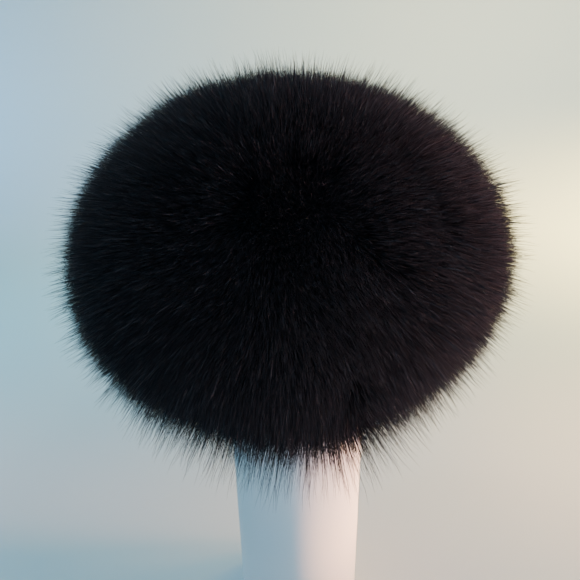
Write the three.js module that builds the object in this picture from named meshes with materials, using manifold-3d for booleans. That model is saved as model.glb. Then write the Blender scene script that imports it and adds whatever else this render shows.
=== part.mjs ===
// A round hat of long black fur, resting on a plain white post.
// Millimetres, +Z up. The origin is the centre of the post's flat foot, +X is to the right seen from
// the front, and +Y runs from the front to the back. Azimuths are counter-clockwise from +X.

import * as THREE from "three";
import { mergeVertices } from "three/addons/utils/BufferGeometryUtils.js";
import Module from "manifold-3d";

const wasm = await Module();
wasm.setup();

// Heights above the foot
const WIDEST_LEVEL = 340;
const RIM_LEVEL = 265;
const CROWN_LEVEL = 410;

// Dense fur, measured from the hat's axis at its widest level
const FUR_HALF_WIDTH = 142.5;
const FUR_HALF_DEPTH = 150;
const FUR_RISE = 115;
const FUR_DROP = 127;

// Skin walls of the hat: an oval band that narrows upwards, closed by a flat oval crown
const WALL = 2.5;
const RIM_HALF_WIDTH = 88;
const RIM_HALF_DEPTH = 100;
const CROWN_HALF_WIDTH = 72;
const CROWN_HALF_DEPTH = 82;

// Post
const POST_RADIUS = 51;
const POST_BEVEL = 1.5;
const POST_SIDES = 48;

// Fur bodies: a backing under the locks, parted along the seam
const GAP = 0.3;
const LOCK_DEPTH = 15;
const BAND_STEPS = 7;
const CROWN_FUR_STEPS = 4;
const RIM_LATITUDE = -42;
const PART_LATITUDE = 51;
const HAT_SIDES = 32;
const TOP_LATITUDE = 90;
const PART_REACH = 2.5;
const PART_MARGIN = 8;
const PART_LID = 230;
const MOUTH_DROP = 60;

// Locks of fur
const LOCK_SIDES = 4;
const LOCK_STEPS = 2;
const LOCK_ROOT = 7;
const LOCK_TIP = 9;
const LOCK_THIN = 0.62;
const LOCK_CURL = 0.3;
const LOCK_FULLNESS = 0.7;
const LOCK_OVERLAP = 0.82;
const LEAN = 24;

// Rows of locks, from the rim up to the seam and on to the top of the crown
const BAND_ROWS = [
  { latitude: -38, count: 22, length: 1.05 },
  { latitude: -27, count: 25, length: 1.0 },
  { latitude: -15.5, count: 27, length: 1.0 },
  { latitude: -4, count: 28, length: 1.0 },
  { latitude: 8, count: 28, length: 1.0 },
  { latitude: 20, count: 26, length: 1.0 },
  { latitude: 32, count: 23, length: 1.0 },
  { latitude: 43, count: 20, length: 0.95 },
];
const CROWN_ROWS = [
  { latitude: 56, count: 15, length: 0.95 },
  { latitude: 68, count: 10, length: 1.0 },
  { latitude: 80, count: 5, length: 1.0 },
];

// Places where the fur stands fuller or lies flatter than an even oval form
const SWELLS = [
  { azimuth: 182, latitude: 2, spread: 45, height: 4.5 },
  { azimuth: 218, latitude: -23, spread: 30, height: 2.5 },
  { azimuth: 315, latitude: -32, spread: 24, height: -3.5 },
];

const DEGREE = Math.PI / 180;
const TURN = 360;
const SLOPE_STEP = 0.5;
const CONE_HALF = 0.5;
const MERGE_DISTANCE = 1e-4;

const finish = (color, roughness) => new THREE.MeshStandardMaterial({ color, roughness, metalness: 0 });
const FUR = finish(0x0b0b0e, 0.85);
const SKIN = finish(0x2a211d, 0.9);
const POST = finish(0xf1f0ee, 0.6);

// A closed, merged solid from a three.js geometry.
function solidOf(geometry) {
  const bare = geometry.index ? geometry.clone() : mergeVertices(geometry);
  bare.deleteAttribute("normal");
  bare.deleteAttribute("uv");
  const merged = mergeVertices(bare, MERGE_DISTANCE);
  const corners = merged.index.array;
  const kept = [];
  for (let i = 0; i < corners.length; i += 3) {
    const [a, b, c] = corners.slice(i, i + 3);
    if (a !== b && b !== c && c !== a) kept.push(a, b, c);
  }
  const vertProperties = new Float32Array(merged.attributes.position.array);
  const triVerts = new Uint32Array(kept);
  return new wasm.Manifold(new wasm.Mesh({ numProp: 3, vertProperties, triVerts }));
}

// A three.js geometry from a closed solid.
function geometryOf(solid) {
  const { vertProperties, triVerts } = solid.getMesh();
  const geometry = new THREE.BufferGeometry();
  geometry.setAttribute("position", new THREE.BufferAttribute(vertProperties, 3));
  geometry.setIndex(new THREE.BufferAttribute(triVerts, 1));
  geometry.computeVertexNormals();
  return geometry;
}

// A solid of oval rings, lathed around Z. Each ring has a half width, a half depth and a level.
// The rings run up the outside, then down the inside or to the axis.
function ovalLathe(rings, sides) {
  const outline = rings.map((ring) => new THREE.Vector2(ring.halfWidth, ring.level));
  const geometry = new THREE.LatheGeometry(outline, sides);
  geometry.rotateX(Math.PI / 2);
  const place = geometry.attributes.position;
  for (let i = 0; i < place.count; i += 1) {
    const ring = rings[i % rings.length];
    const stretch = ring.halfWidth > 0 ? ring.halfDepth / ring.halfWidth : 1;
    place.setY(i, place.getY(i) * stretch);
  }
  return geometry;
}

// Ring of the hat's wall at a level, on the outer face or further in.
function wallRing(level, inset) {
  const climb = (level - RIM_LEVEL) / (CROWN_LEVEL - RIM_LEVEL);
  return {
    halfWidth: RIM_HALF_WIDTH + (CROWN_HALF_WIDTH - RIM_HALF_WIDTH) * climb - inset,
    halfDepth: RIM_HALF_DEPTH + (CROWN_HALF_DEPTH - RIM_HALF_DEPTH) * climb - inset,
    level,
  };
}

// Point on the hat's axis, where a solid of rings closes.
const axisPoint = (level) => ({ halfWidth: 0, halfDepth: 0, level });

// Height of the swells at a place on the fur, in millimetres.
function swellAt(azimuth, latitude) {
  let height = 0;
  for (const swell of SWELLS) {
    const around = ((azimuth - swell.azimuth + TURN * 1.5) % TURN) - TURN / 2;
    const turn = around * Math.cos(latitude * DEGREE);
    const climb = latitude - swell.latitude;
    height += swell.height * Math.exp(-(turn * turn + climb * climb) / (swell.spread * swell.spread));
  }
  return height;
}

// Ring of the fur at a latitude, a depth below the dense outline.
function furRing(latitude, depth) {
  const across = Math.cos(latitude * DEGREE);
  const rise = (latitude > 0 ? FUR_RISE : FUR_DROP) - depth;
  return {
    halfWidth: (FUR_HALF_WIDTH - depth) * across,
    halfDepth: (FUR_HALF_DEPTH - depth) * across,
    level: WIDEST_LEVEL + rise * Math.sin(latitude * DEGREE),
  };
}

// Rings of the fur between two latitudes, both included.
function furRings(from, to, steps, depth) {
  const rings = [];
  for (let i = 0; i <= steps; i += 1) {
    rings.push(furRing(from + ((to - from) * i) / steps, depth));
  }
  return rings;
}

// Point on the fur at an azimuth and a latitude, with its swell.
function furPoint(azimuth, latitude, depth) {
  const ring = furRing(latitude, depth);
  const outward = new THREE.Vector3(
    ring.halfWidth * Math.cos(azimuth * DEGREE),
    ring.halfDepth * Math.sin(azimuth * DEGREE),
    ring.level - WIDEST_LEVEL,
  );
  outward.addScaledVector(outward.clone().normalize(), swellAt(azimuth, latitude));
  return outward.add(new THREE.Vector3(0, 0, WIDEST_LEVEL));
}

// Outward, sideways and downhill directions of the fur at a place.
function furFrame(azimuth, latitude) {
  const east = furPoint(azimuth + SLOPE_STEP, latitude, 0);
  east.sub(furPoint(azimuth - SLOPE_STEP, latitude, 0));
  const north = furPoint(azimuth, latitude + SLOPE_STEP, 0);
  north.sub(furPoint(azimuth, latitude - SLOPE_STEP, 0));
  const outward = new THREE.Vector3().crossVectors(east, north).normalize();
  return { outward, sideways: east.normalize(), downhill: north.normalize().negate() };
}

// One lock: a four-sided tapered tuft that leaves the backing, swells, and curls downhill to its tip.
function lock(azimuth, latitude, width, length) {
  const reach = (LOCK_ROOT + LOCK_DEPTH + LOCK_TIP) * length;
  const geometry = new THREE.ConeGeometry(1, 1, LOCK_SIDES, LOCK_STEPS);
  const { outward, sideways, downhill } = furFrame(azimuth, latitude);
  const leaning = outward.clone().addScaledVector(downhill, Math.tan(LEAN * DEGREE)).normalize();
  const across = new THREE.Vector3().crossVectors(leaning, sideways).normalize();
  const root = furPoint(azimuth, latitude, LOCK_DEPTH).addScaledVector(leaning, -LOCK_ROOT);
  const place = geometry.attributes.position;
  const point = new THREE.Vector3();
  for (let i = 0; i < place.count; i += 1) {
    const along = place.getY(i) + CONE_HALF;
    const spread = along < 1 ? 1 / (1 - along) : 0;
    const girth = (width / 2) * Math.cos((along * Math.PI) / 2) ** LOCK_FULLNESS * spread;
    point.copy(root);
    point.addScaledVector(leaning, along * reach);
    point.addScaledVector(downhill, LOCK_CURL * reach * along * along);
    point.addScaledVector(sideways, place.getX(i) * girth);
    point.addScaledVector(across, -place.getZ(i) * girth * LOCK_THIN);
    place.setXYZ(i, point.x, point.y, point.z);
  }
  return solidOf(geometry);
}

// All the locks of a set of rows, each row staggered against the one below.
function locks(rows) {
  const solids = [];
  rows.forEach((row, index) => {
    const ring = furRing(row.latitude, LOCK_DEPTH);
    const girth = Math.PI * (ring.halfWidth + ring.halfDepth);
    const width = (girth / row.count) * LOCK_OVERLAP;
    for (let i = 0; i < row.count; i += 1) {
      const azimuth = ((i + (index % 2) / 2) * TURN) / row.count;
      solids.push(lock(azimuth, row.latitude, width, row.length));
    }
  });
  return solids;
}

// The space above the parting between crown fur and band fur, which starts at the seam.
function abovePart(drop) {
  const seam = wallRing(CROWN_LEVEL - WALL, WALL);
  const out = furRing(PART_LATITUDE, 0);
  const far = {
    halfWidth: seam.halfWidth + (out.halfWidth - seam.halfWidth) * PART_REACH,
    halfDepth: seam.halfDepth + (out.halfDepth - seam.halfDepth) * PART_REACH,
    level: seam.level + (out.level - seam.level) * PART_REACH,
  };
  const lid = { ...far, level: WIDEST_LEVEL + PART_LID };
  const rings = [axisPoint(seam.level), seam, far, lid, axisPoint(lid.level)];
  const lowered = rings.map((ring) => ({ ...ring, level: ring.level - drop }));
  return solidOf(ovalLathe(lowered, HAT_SIDES));
}

function buildPost() {
  const top = CROWN_LEVEL - WALL - GAP;
  const outline = [
    new THREE.Vector2(0, 0),
    new THREE.Vector2(POST_RADIUS - POST_BEVEL, 0),
    new THREE.Vector2(POST_RADIUS, POST_BEVEL),
    new THREE.Vector2(POST_RADIUS, top - POST_BEVEL),
    new THREE.Vector2(POST_RADIUS - POST_BEVEL, top),
    new THREE.Vector2(0, top),
  ];
  const geometry = new THREE.LatheGeometry(outline, POST_SIDES);
  geometry.rotateX(Math.PI / 2);
  return geometryOf(solidOf(geometry));
}

// The band is an oval wall, open at both ends.
function buildBandPelt() {
  const top = CROWN_LEVEL - WALL - GAP;
  const outside = [wallRing(RIM_LEVEL, 0), wallRing(top, 0)];
  const inside = [wallRing(top, WALL), wallRing(RIM_LEVEL, WALL)];
  return geometryOf(solidOf(ovalLathe([...outside, ...inside, outside[0]], HAT_SIDES)));
}

// The crown is a flat oval panel, laid on the band's upper edge.
function buildCrownPelt() {
  const under = { ...wallRing(CROWN_LEVEL, 0), level: CROWN_LEVEL - WALL };
  const top = wallRing(CROWN_LEVEL, 0);
  const rings = [axisPoint(under.level), under, top, axisPoint(CROWN_LEVEL)];
  return geometryOf(solidOf(ovalLathe(rings, HAT_SIDES)));
}

// The hat's own space, grown by the gap and carried on below the rim, which the fur stays out of.
function hatSpace() {
  const rim = wallRing(RIM_LEVEL, -GAP);
  const mouth = { ...rim, level: RIM_LEVEL - MOUTH_DROP };
  const top = { ...wallRing(CROWN_LEVEL, -GAP), level: CROWN_LEVEL + GAP };
  return solidOf(ovalLathe([axisPoint(mouth.level), mouth, rim, top, axisPoint(top.level)], HAT_SIDES));
}

// Locks fused to a backing that fills the space from the hat's wall to a depth below the outline.
function furAround(rows, from, to, steps) {
  const rings = furRings(from, to, steps, LOCK_DEPTH);
  const closing = to < TOP_LATITUDE ? [axisPoint(rings[steps].level)] : [];
  const backing = solidOf(ovalLathe([axisPoint(rings[0].level), ...rings, ...closing], HAT_SIDES));
  return wasm.Manifold.union([backing, ...locks(rows)]).subtract(hatSpace());
}

function buildBandFur() {
  const fur = furAround(BAND_ROWS, RIM_LATITUDE, PART_LATITUDE + PART_MARGIN, BAND_STEPS);
  return geometryOf(fur.subtract(abovePart(GAP)));
}

function buildCrownFur() {
  const fur = furAround(CROWN_ROWS, PART_LATITUDE - PART_MARGIN, TOP_LATITUDE, CROWN_FUR_STEPS);
  return geometryOf(fur.intersect(abovePart(0)));
}

function part(name, geometry, material) {
  const mesh = new THREE.Mesh(geometry, material);
  mesh.name = name;
  return mesh;
}

const hat = new THREE.Group();
hat.add(part("crown_pelt", buildCrownPelt(), SKIN));
hat.add(part("band_pelt", buildBandPelt(), SKIN));
hat.add(part("crown_fur", buildCrownFur(), FUR));
hat.add(part("band_fur", buildBandFur(), FUR));

const assembly = new THREE.Group();
assembly.add(part("stand_post", buildPost(), POST));
assembly.add(hat);

export default assembly;
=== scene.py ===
"""Looks of a round hat of long black fur on a plain white post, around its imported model."""
import logging
import math
from dataclasses import asdict, dataclass, field, replace
from enum import Enum

import bpy
import numpy as np
from mathutils import Euler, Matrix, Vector


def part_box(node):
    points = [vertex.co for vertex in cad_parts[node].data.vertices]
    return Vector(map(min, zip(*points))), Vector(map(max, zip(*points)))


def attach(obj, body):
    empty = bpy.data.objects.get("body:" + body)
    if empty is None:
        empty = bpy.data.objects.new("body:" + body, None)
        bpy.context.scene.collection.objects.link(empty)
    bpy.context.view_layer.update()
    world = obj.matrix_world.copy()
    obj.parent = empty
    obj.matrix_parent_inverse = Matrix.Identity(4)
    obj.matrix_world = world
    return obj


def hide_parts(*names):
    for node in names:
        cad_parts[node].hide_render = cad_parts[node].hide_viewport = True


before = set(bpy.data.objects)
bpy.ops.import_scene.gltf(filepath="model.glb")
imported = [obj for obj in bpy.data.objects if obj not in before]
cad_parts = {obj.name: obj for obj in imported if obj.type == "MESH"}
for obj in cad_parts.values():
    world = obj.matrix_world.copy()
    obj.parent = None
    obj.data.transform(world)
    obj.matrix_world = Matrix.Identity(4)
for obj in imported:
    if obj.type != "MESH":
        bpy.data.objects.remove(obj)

LOG = logging.getLogger("hat")
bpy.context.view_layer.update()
BODY = "root"

Array = np.ndarray
Triple = tuple[float, float, float]
Span = tuple[float, float]
Faces = list[tuple[int, ...]]
Object = bpy.types.Object
Material = bpy.types.Material
Tree = bpy.types.NodeTree
Node = bpy.types.Node
Socket = bpy.types.NodeSocket
Sockets = dict[str, str]


class Slot(Enum):
    """Material slots of the record."""

    FUR = "fur"
    PELT = "pelt"
    POST = "post"


class Part(Enum):
    """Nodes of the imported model."""

    POST = "stand_post"
    CROWN_PELT = "crown_pelt"
    BAND_PELT = "band_pelt"
    CROWN_FUR = "crown_fur"
    BAND_FUR = "band_fur"


def smooth(low: float, high: float, value: Array) -> Array:
    """Soft step from 0 at low to 1 at high."""
    t = np.clip((value - low) / (high - low), 0.0, 1.0)
    return t * t * (3.0 - 2.0 * t)


def unit(vectors: Array) -> Array:
    """Rows scaled to length 1."""
    return vectors / np.maximum(np.linalg.norm(vectors, axis=-1, keepdims=True), 1e-9)


# Form of the fur


@dataclass(frozen=True)
class Waves:
    """A smooth, repeatable, wandering field: a sum of sine waves in seeded directions."""

    seed: int  # seed of the directions and phases
    size: float  # length of a wave in metres
    count: int = 14  # number of waves
    pace: Span = (0.6, 1.6)  # least and greatest pace of a wave, as a share of the usual one
    gain: float = 0.6  # factor that keeps most values between -1 and 1

    def at(self, points: Array) -> Array:
        """Field at some points.

        Args:
            points: rows of x, y, z in metres.

        Returns:
            One value a point, mostly between -1 and 1.
        """
        dice = np.random.default_rng(self.seed)
        ways = unit(dice.normal(size=(self.count, 3))) * dice.uniform(*self.pace, (self.count, 1))
        phases = dice.uniform(0.0, 2.0 * math.pi, self.count)
        turns = points @ ways.T * (2.0 * math.pi / self.size) + phases
        return np.sin(turns).sum(axis=1) / math.sqrt(self.count / 2.0) * self.gain


@dataclass(frozen=True)
class Swell:
    """A place where the fur stands fuller, or lies flatter, than an even oval."""

    azimuth: float  # degrees counter-clockwise from +X
    latitude: float  # degrees above the widest level
    spread: float  # degrees to where it fades
    height: float  # metres, negative where the fur lies flat

    def at(self, azimuth: Array, latitude: Array) -> Array:
        """Height of the swell at some places, in metres.

        Args:
            azimuth: degrees.
            latitude: degrees.

        Returns:
            One height a place.
        """
        turn = ((azimuth - self.azimuth + 540.0) % 360.0 - 180.0) * np.cos(np.radians(latitude))
        climb = latitude - self.latitude
        return self.height * np.exp(-(turn**2 + climb**2) / self.spread**2)


@dataclass(frozen=True)
class Parting:
    """A short line along which the fur falls to either side."""

    start: Span  # azimuth and latitude of one end, in degrees
    end: Span  # azimuth and latitude of the other end
    spread: float  # degrees to where it fades
    push: float  # how far the hair leans away from the line, as a tangent
    sink: float  # how much shorter the fur stands on the line, in metres
    turn_over: float = 0.35  # share of the spread within which the lean changes sides

    def at(self, azimuth: Array, latitude: Array) -> tuple[Array, Array]:
        """Side and strength of the parting at some places.

        Args:
            azimuth: degrees.
            latitude: degrees.

        Returns:
            Rows of the eastward and northward push, and the strength on the line, 0 to 1.
        """
        scale = math.cos(math.radians((self.start[1] + self.end[1]) / 2.0))
        first = np.array([self.start[0] * scale, self.start[1]])
        along = np.array([self.end[0] * scale, self.end[1]]) - first
        turn = (azimuth - self.start[0] + 540.0) % 360.0 - 180.0
        offset = np.stack([turn * scale, latitude - self.start[1]], axis=1)
        share = np.clip(offset @ along / (along @ along), 0.0, 1.0)
        away = offset - share[:, None] * along
        distance = np.linalg.norm(away, axis=1)
        strength = np.exp(-((distance / self.spread) ** 2))
        near = np.minimum(distance / (self.turn_over * self.spread), 1.0)
        side = unit(away) * near[:, None]
        return side * (strength * self.push)[:, None], strength


@dataclass(frozen=True)
class FurForm:
    """The outer form of the dense fur: an oval with swells, and the way that the hair lies on it."""

    widest_level: float = 0.340  # height of the widest level, in metres
    half_width: float = 0.1425  # half of the width there
    half_depth: float = 0.150  # half of the depth there
    rise: float = 0.115  # height of the top above the widest level
    drop: float = 0.127  # depth of the oval's lower pole below it
    rim_latitude: float = -42.0  # latitude in degrees at which the fur ends
    part_latitude: float = 51.0  # latitude of the seam between crown and band
    side_lean: float = 13.0  # degrees that the hair hangs below square at the sides
    rim_lean: float = 6.0  # the same at the rim
    rim_zone: float = -10.0  # latitude below which the rim's lean sets in
    crown_zone: float = 62.0  # latitude above which the hanging fades
    forward_lean: float = 24.0  # degrees that the hair of the crown is combed forwards
    forward_zone: Span = (-8.0, 42.0)  # latitudes between which the forward combing sets in
    forward_middle: float = 0.62  # share of the forward combing halfway from back to front
    wander: float = 0.10  # how far the hair wanders from its way, as a tangent
    east_waves: Waves = Waves(11, 0.070)  # sideways wandering
    north_waves: Waves = Waves(12, 0.055)  # wandering up and down
    swells: tuple[Swell, ...] = (  # uneven places of the form
        Swell(182.0, 2.0, 45.0, 0.0045),
        Swell(212.0, -20.0, 26.0, 0.0035),
        Swell(228.0, -36.0, 16.0, -0.0048),
        Swell(285.0, -38.0, 13.0, 0.0055),
        Swell(309.0, -38.0, 15.0, -0.0085),
        Swell(325.0, -30.0, 26.0, -0.0058),
        Swell(140.0, 48.0, 28.0, 0.0030),
        Swell(30.0, 20.0, 40.0, -0.0018),
    )
    partings: tuple[Parting, ...] = (
        Parting((-46.0, 50.0), (-45.5, 28.0), 5.5, 0.34, 0.0040),
        Parting((-88.0, 53.0), (-77.0, 51.0), 5.0, 0.30, 0.0035),
        Parting((-74.0, 31.0), (-65.0, 21.0), 4.5, 0.32, 0.0040),
        Parting((-104.0, 45.5), (-105.5, 36.0), 4.5, 0.26, 0.0030),
        Parting((-77.5, -8.0), (-74.0, -27.0), 4.5, 0.36, 0.0045),
        Parting((150.0, 44.0), (118.0, 34.0), 5.5, 0.28, 0.0035),
        Parting((35.0, 12.0), (52.0, -4.0), 5.0, 0.28, 0.0035),
        Parting((96.0, 4.0), (88.0, -16.0), 5.0, 0.30, 0.0035),
    )

    def surface(self, azimuth: Array, latitude: Array, depth: float) -> Array:
        """Points on the form at a depth below the dense outline.

        Args:
            azimuth: degrees.
            latitude: degrees.
            depth: metres below the dense outline.

        Returns:
            Rows of x, y, z.
        """
        a, v = np.radians(azimuth), np.radians(latitude)
        height = np.where(latitude > 0.0, self.rise, self.drop) - depth
        x = (self.half_width - depth) * np.cos(a) * np.cos(v)
        y = (self.half_depth - depth) * np.sin(a) * np.cos(v)
        points = np.stack([x, y, height * np.sin(v)], axis=1)
        swell = sum(s.at(azimuth, latitude) for s in self.swells)
        points = points + unit(points) * swell[:, None]
        points[:, 2] += self.widest_level
        return points

    def axes(self, azimuth: Array, latitude: Array, step: float = 0.4) -> tuple[Array, Array, Array]:
        """Outward, eastward and northward unit vectors of the form, from points a step apart.

        Args:
            azimuth: degrees.
            latitude: degrees.
            step: degrees between a place and the points beside it.

        Returns:
            Three tables of rows.
        """
        latitude = np.minimum(latitude, 90.0 - 2.0 * step)
        before, after = azimuth - step, azimuth + step
        east = self.surface(after, latitude, 0.0) - self.surface(before, latitude, 0.0)
        below, above = latitude - step, latitude + step
        north = self.surface(azimuth, above, 0.0) - self.surface(azimuth, below, 0.0)
        east, north = unit(east), unit(north)
        return unit(np.cross(east, north)), east, north

    def hair_way(self, azimuth: Array, latitude: Array, points: Array) -> Array:
        """Direction in which the hair leaves the form at some places, as unit vectors.

        Args:
            azimuth: degrees.
            latitude: degrees.
            points: the places as rows of x, y, z in metres.

        Returns:
            One row a place.
        """
        outward, east, north = self.axes(azimuth, latitude)
        near_rim = smooth(self.rim_zone, self.rim_latitude, latitude)
        lean = self.side_lean + (self.rim_lean - self.side_lean) * near_rim
        lean = lean * smooth(90.0, self.crown_zone, latitude)
        way = outward - np.tan(np.radians(lean))[:, None] * north
        forward = np.tile(np.array([0.0, -1.0, 0.0]), (len(points), 1))
        forward -= outward * (forward * outward).sum(axis=1)[:, None]
        fore = np.clip(-points[:, 1] / self.half_depth * 0.5 + self.forward_middle, 0.0, 1.0)
        amount = math.tan(math.radians(self.forward_lean))
        amount = amount * smooth(*self.forward_zone, latitude) * fore
        way = way + forward * amount[:, None]
        for parting in self.partings:
            push, _ = parting.at(azimuth, latitude)
            way = way + east * push[:, :1] + north * push[:, 1:]
        way = way + east * (self.wander * self.east_waves.at(points))[:, None]
        way = way + north * (self.wander * self.north_waves.at(points))[:, None]
        return unit(way)

    def sink(self, azimuth: Array, latitude: Array) -> Array:
        """How much shorter the fur stands in the partings, in metres."""
        return sum(p.sink * p.at(azimuth, latitude)[1] for p in self.partings)


# Meshes


def mesh_object(name: str, points: Array, faces: Faces, material: Material | None = None) -> Object:
    """A new smooth mesh object, linked to the scene.

    Args:
        name: the object's and its mesh's name.
        points: rows of x, y, z in metres.
        faces: corner indices of each face.
        material: its material, if it has one.

    Returns:
        The object, at the origin.
    """
    mesh = bpy.data.meshes.new(name)
    mesh.from_pydata([tuple(p) for p in points], [], faces)
    mesh.validate()
    mesh.polygons.foreach_set("use_smooth", [True] * len(mesh.polygons))
    mesh.update()
    if material is not None:
        mesh.materials.append(material)
    obj = bpy.data.objects.new(name, mesh)
    bpy.context.scene.collection.objects.link(obj)
    return obj


def declare(obj: Object, node: Part) -> None:
    """Puts a finished piece on the body in place of a node of the model, and reports it.

    Args:
        obj: the piece.
        node: node that it stands for.
    """
    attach(obj, BODY)
    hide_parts(node.value)
    LOG.info("%s: %d faces", obj.name, len(obj.data.polygons))


def ring_points(rows: Array, sides: int, looped: bool) -> Array:
    """Points of a skin of oval rings round the hat's axis.

    Args:
        rows: half width, half depth and level of each ring, in metres.
        sides: points in a ring.
        looped: whether the last ring joins the first; otherwise the two ends get a pole each.

    Returns:
        Ring after ring of points, then the poles.
    """
    turn = np.arange(sides) * 2.0 * math.pi / sides
    x = rows[:, :1] * np.cos(turn)
    y = rows[:, 1:2] * np.sin(turn)
    z = np.repeat(rows[:, 2:], sides, axis=1)
    body = np.stack([x, y, z], axis=2).reshape(-1, 3)
    if looped:
        return body
    return np.concatenate([body, np.array([[0.0, 0.0, rows[0, 2]], [0.0, 0.0, rows[-1, 2]]])])


def ring_faces(count: int, sides: int, looped: bool) -> Faces:
    """Faces between rings of points, which point outwards where the rings run up the outside.

    Args:
        count: number of rings.
        sides: points in a ring.
        looped: whether the last ring joins the first; otherwise the ends close at the two poles
            that follow the rings.

    Returns:
        Corner indices of each face.
    """
    following = [(i, (i + 1) % sides) for i in range(sides)]
    faces: Faces = []
    for row in range(count if looped else count - 1):
        low, high = row * sides, (row + 1) % count * sides
        faces.extend((low + i, low + j, high + j, high + i) for i, j in following)
    if not looped:
        poles, last = count * sides, (count - 1) * sides
        for i, j in following:
            faces.append((poles, j, i))
            faces.append((poles + 1, last + i, last + j))
    return faces


# Finishes


@dataclass(frozen=True)
class NodeMaker:
    """Makes nodes in a tree and links them."""

    tree: Tree  # the shader or geometry tree

    def add(self, kind: str, values: dict[str | int, object] | None = None, **settings: object) -> Node:
        """A new node.

        Args:
            kind: the node's type name.
            values: an input's value, or the socket that feeds it, by the input's name or index.
            **settings: the node's own properties.

        Returns:
            The node.
        """
        node = self.tree.nodes.new(kind)
        for key, value in settings.items():
            setattr(node, key, value)
        for key, value in (values or {}).items():
            self.feed(node.inputs[key], value)
        return node

    def feed(self, socket: Socket, value: object) -> None:
        """Sets an input, or links another socket to it.

        Args:
            socket: the input.
            value: its value, or the socket that feeds it.
        """
        if isinstance(value, Socket):
            self.tree.links.new(value, socket)
        else:
            socket.default_value = value

    def math(self, operation: str, *values: object) -> Socket:
        """Result of a Math node on numbers or sockets."""
        return self.add("ShaderNodeMath", dict(enumerate(values)), operation=operation).outputs[0]

    def vector(self, operation: str, *values: object) -> Socket:
        """Vector result of a Vector Math node on vectors or sockets."""
        values = dict(enumerate(values))
        return self.add("ShaderNodeVectorMath", values, operation=operation).outputs[0]

    def scaled(self, vector: object, scale: object) -> Socket:
        """A vector times a number."""
        values = {0: vector, "Scale": scale}
        return self.add("ShaderNodeVectorMath", values, operation="SCALE").outputs[0]

    def mix(self, kind: str, share: object, first: object, second: object) -> Socket:
        """Colour or vector between two others.

        Args:
            kind: RGBA or VECTOR.
            share: share of the second, 0 to 1.
            first: result at 0.
            second: result at 1.

        Returns:
            The blended colour or vector.
        """
        node = self.add("ShaderNodeMix", data_type=kind)
        for socket, value in zip([s for s in node.inputs if s.enabled], (share, first, second)):
            self.feed(socket, value)
        return next(s for s in node.outputs if s.enabled)

    def noise(self, scale: object, detail: float) -> Socket:
        """Noise over the object's own coordinates.

        Args:
            scale: waves in a metre.
            detail: layers of finer noise.

        Returns:
            Values round 0.5.
        """
        where = self.add("ShaderNodeTexCoord").outputs["Object"]
        values = {"Vector": where, "Scale": scale, "Detail": detail}
        return self.add("ShaderNodeTexNoise", values).outputs["Fac"]

    def stretch(self, value: object, low: float, high: float) -> Socket:
        """A value stretched so that low becomes 0 and high becomes 1."""
        return self.add("ShaderNodeMapRange", {0: value, 1: low, 2: high}).outputs[0]


def new_group(name: str, kind: str, inputs: Sockets, outputs: Sockets) -> tuple[NodeMaker, Node, Node]:
    """An empty node group with its sockets and its two end nodes.

    Args:
        name: the group's name.
        kind: ShaderNodeTree or GeometryNodeTree.
        inputs: socket type of each input, by its name.
        outputs: socket type of each output, by its name.

    Returns:
        The maker of its nodes, the group's input node and its output node.
    """
    tree = bpy.data.node_groups.new(name, kind)
    for way, sockets in (("INPUT", inputs), ("OUTPUT", outputs)):
        for label, socket in sockets.items():
            tree.interface.new_socket(label, in_out=way, socket_type=socket)
    maker = NodeMaker(tree)
    return maker, maker.add("NodeGroupInput"), maker.add("NodeGroupOutput")


FLOAT = "NodeSocketFloat"
COLOUR = "NodeSocketColor"


def grain_group() -> Tree:
    """Shader group of a fine grain over soft mottling, for skin, paint and under-fur.

    Returns:
        A group that puts out a colour, a roughness and a height.
    """
    inputs = dict.fromkeys(("Colour", "Worn Colour"), COLOUR)
    inputs |= dict.fromkeys(("Mottle Scale", "Grain Scale", "Roughness", "Roughness Spread"), FLOAT)
    outputs = {"Colour": COLOUR, "Roughness": FLOAT, "Height": FLOAT}
    make, given, result = new_group("surface_grain", "ShaderNodeTree", inputs, outputs)
    sizes = given.outputs
    mottle_detail, grain_detail, mottle_share = 4.0, 3.0, 0.7
    mottle = make.noise(sizes["Mottle Scale"], mottle_detail)
    grain = make.noise(sizes["Grain Scale"], grain_detail)
    blend = make.math("MULTIPLY", grain, 1.0 - mottle_share)
    blend = make.math("MULTIPLY_ADD", mottle, mottle_share, blend)
    colour = make.mix("RGBA", make.stretch(blend, 0.35, 0.65), sizes["Colour"], sizes["Worn Colour"])
    offset = make.math("SUBTRACT", blend, 0.5)
    rough = make.math("MULTIPLY_ADD", offset, sizes["Roughness Spread"], sizes["Roughness"])
    for name, value in (("Colour", colour), ("Roughness", rough), ("Height", grain)):
        make.feed(result.inputs[name], value)
    return make.tree


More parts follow.
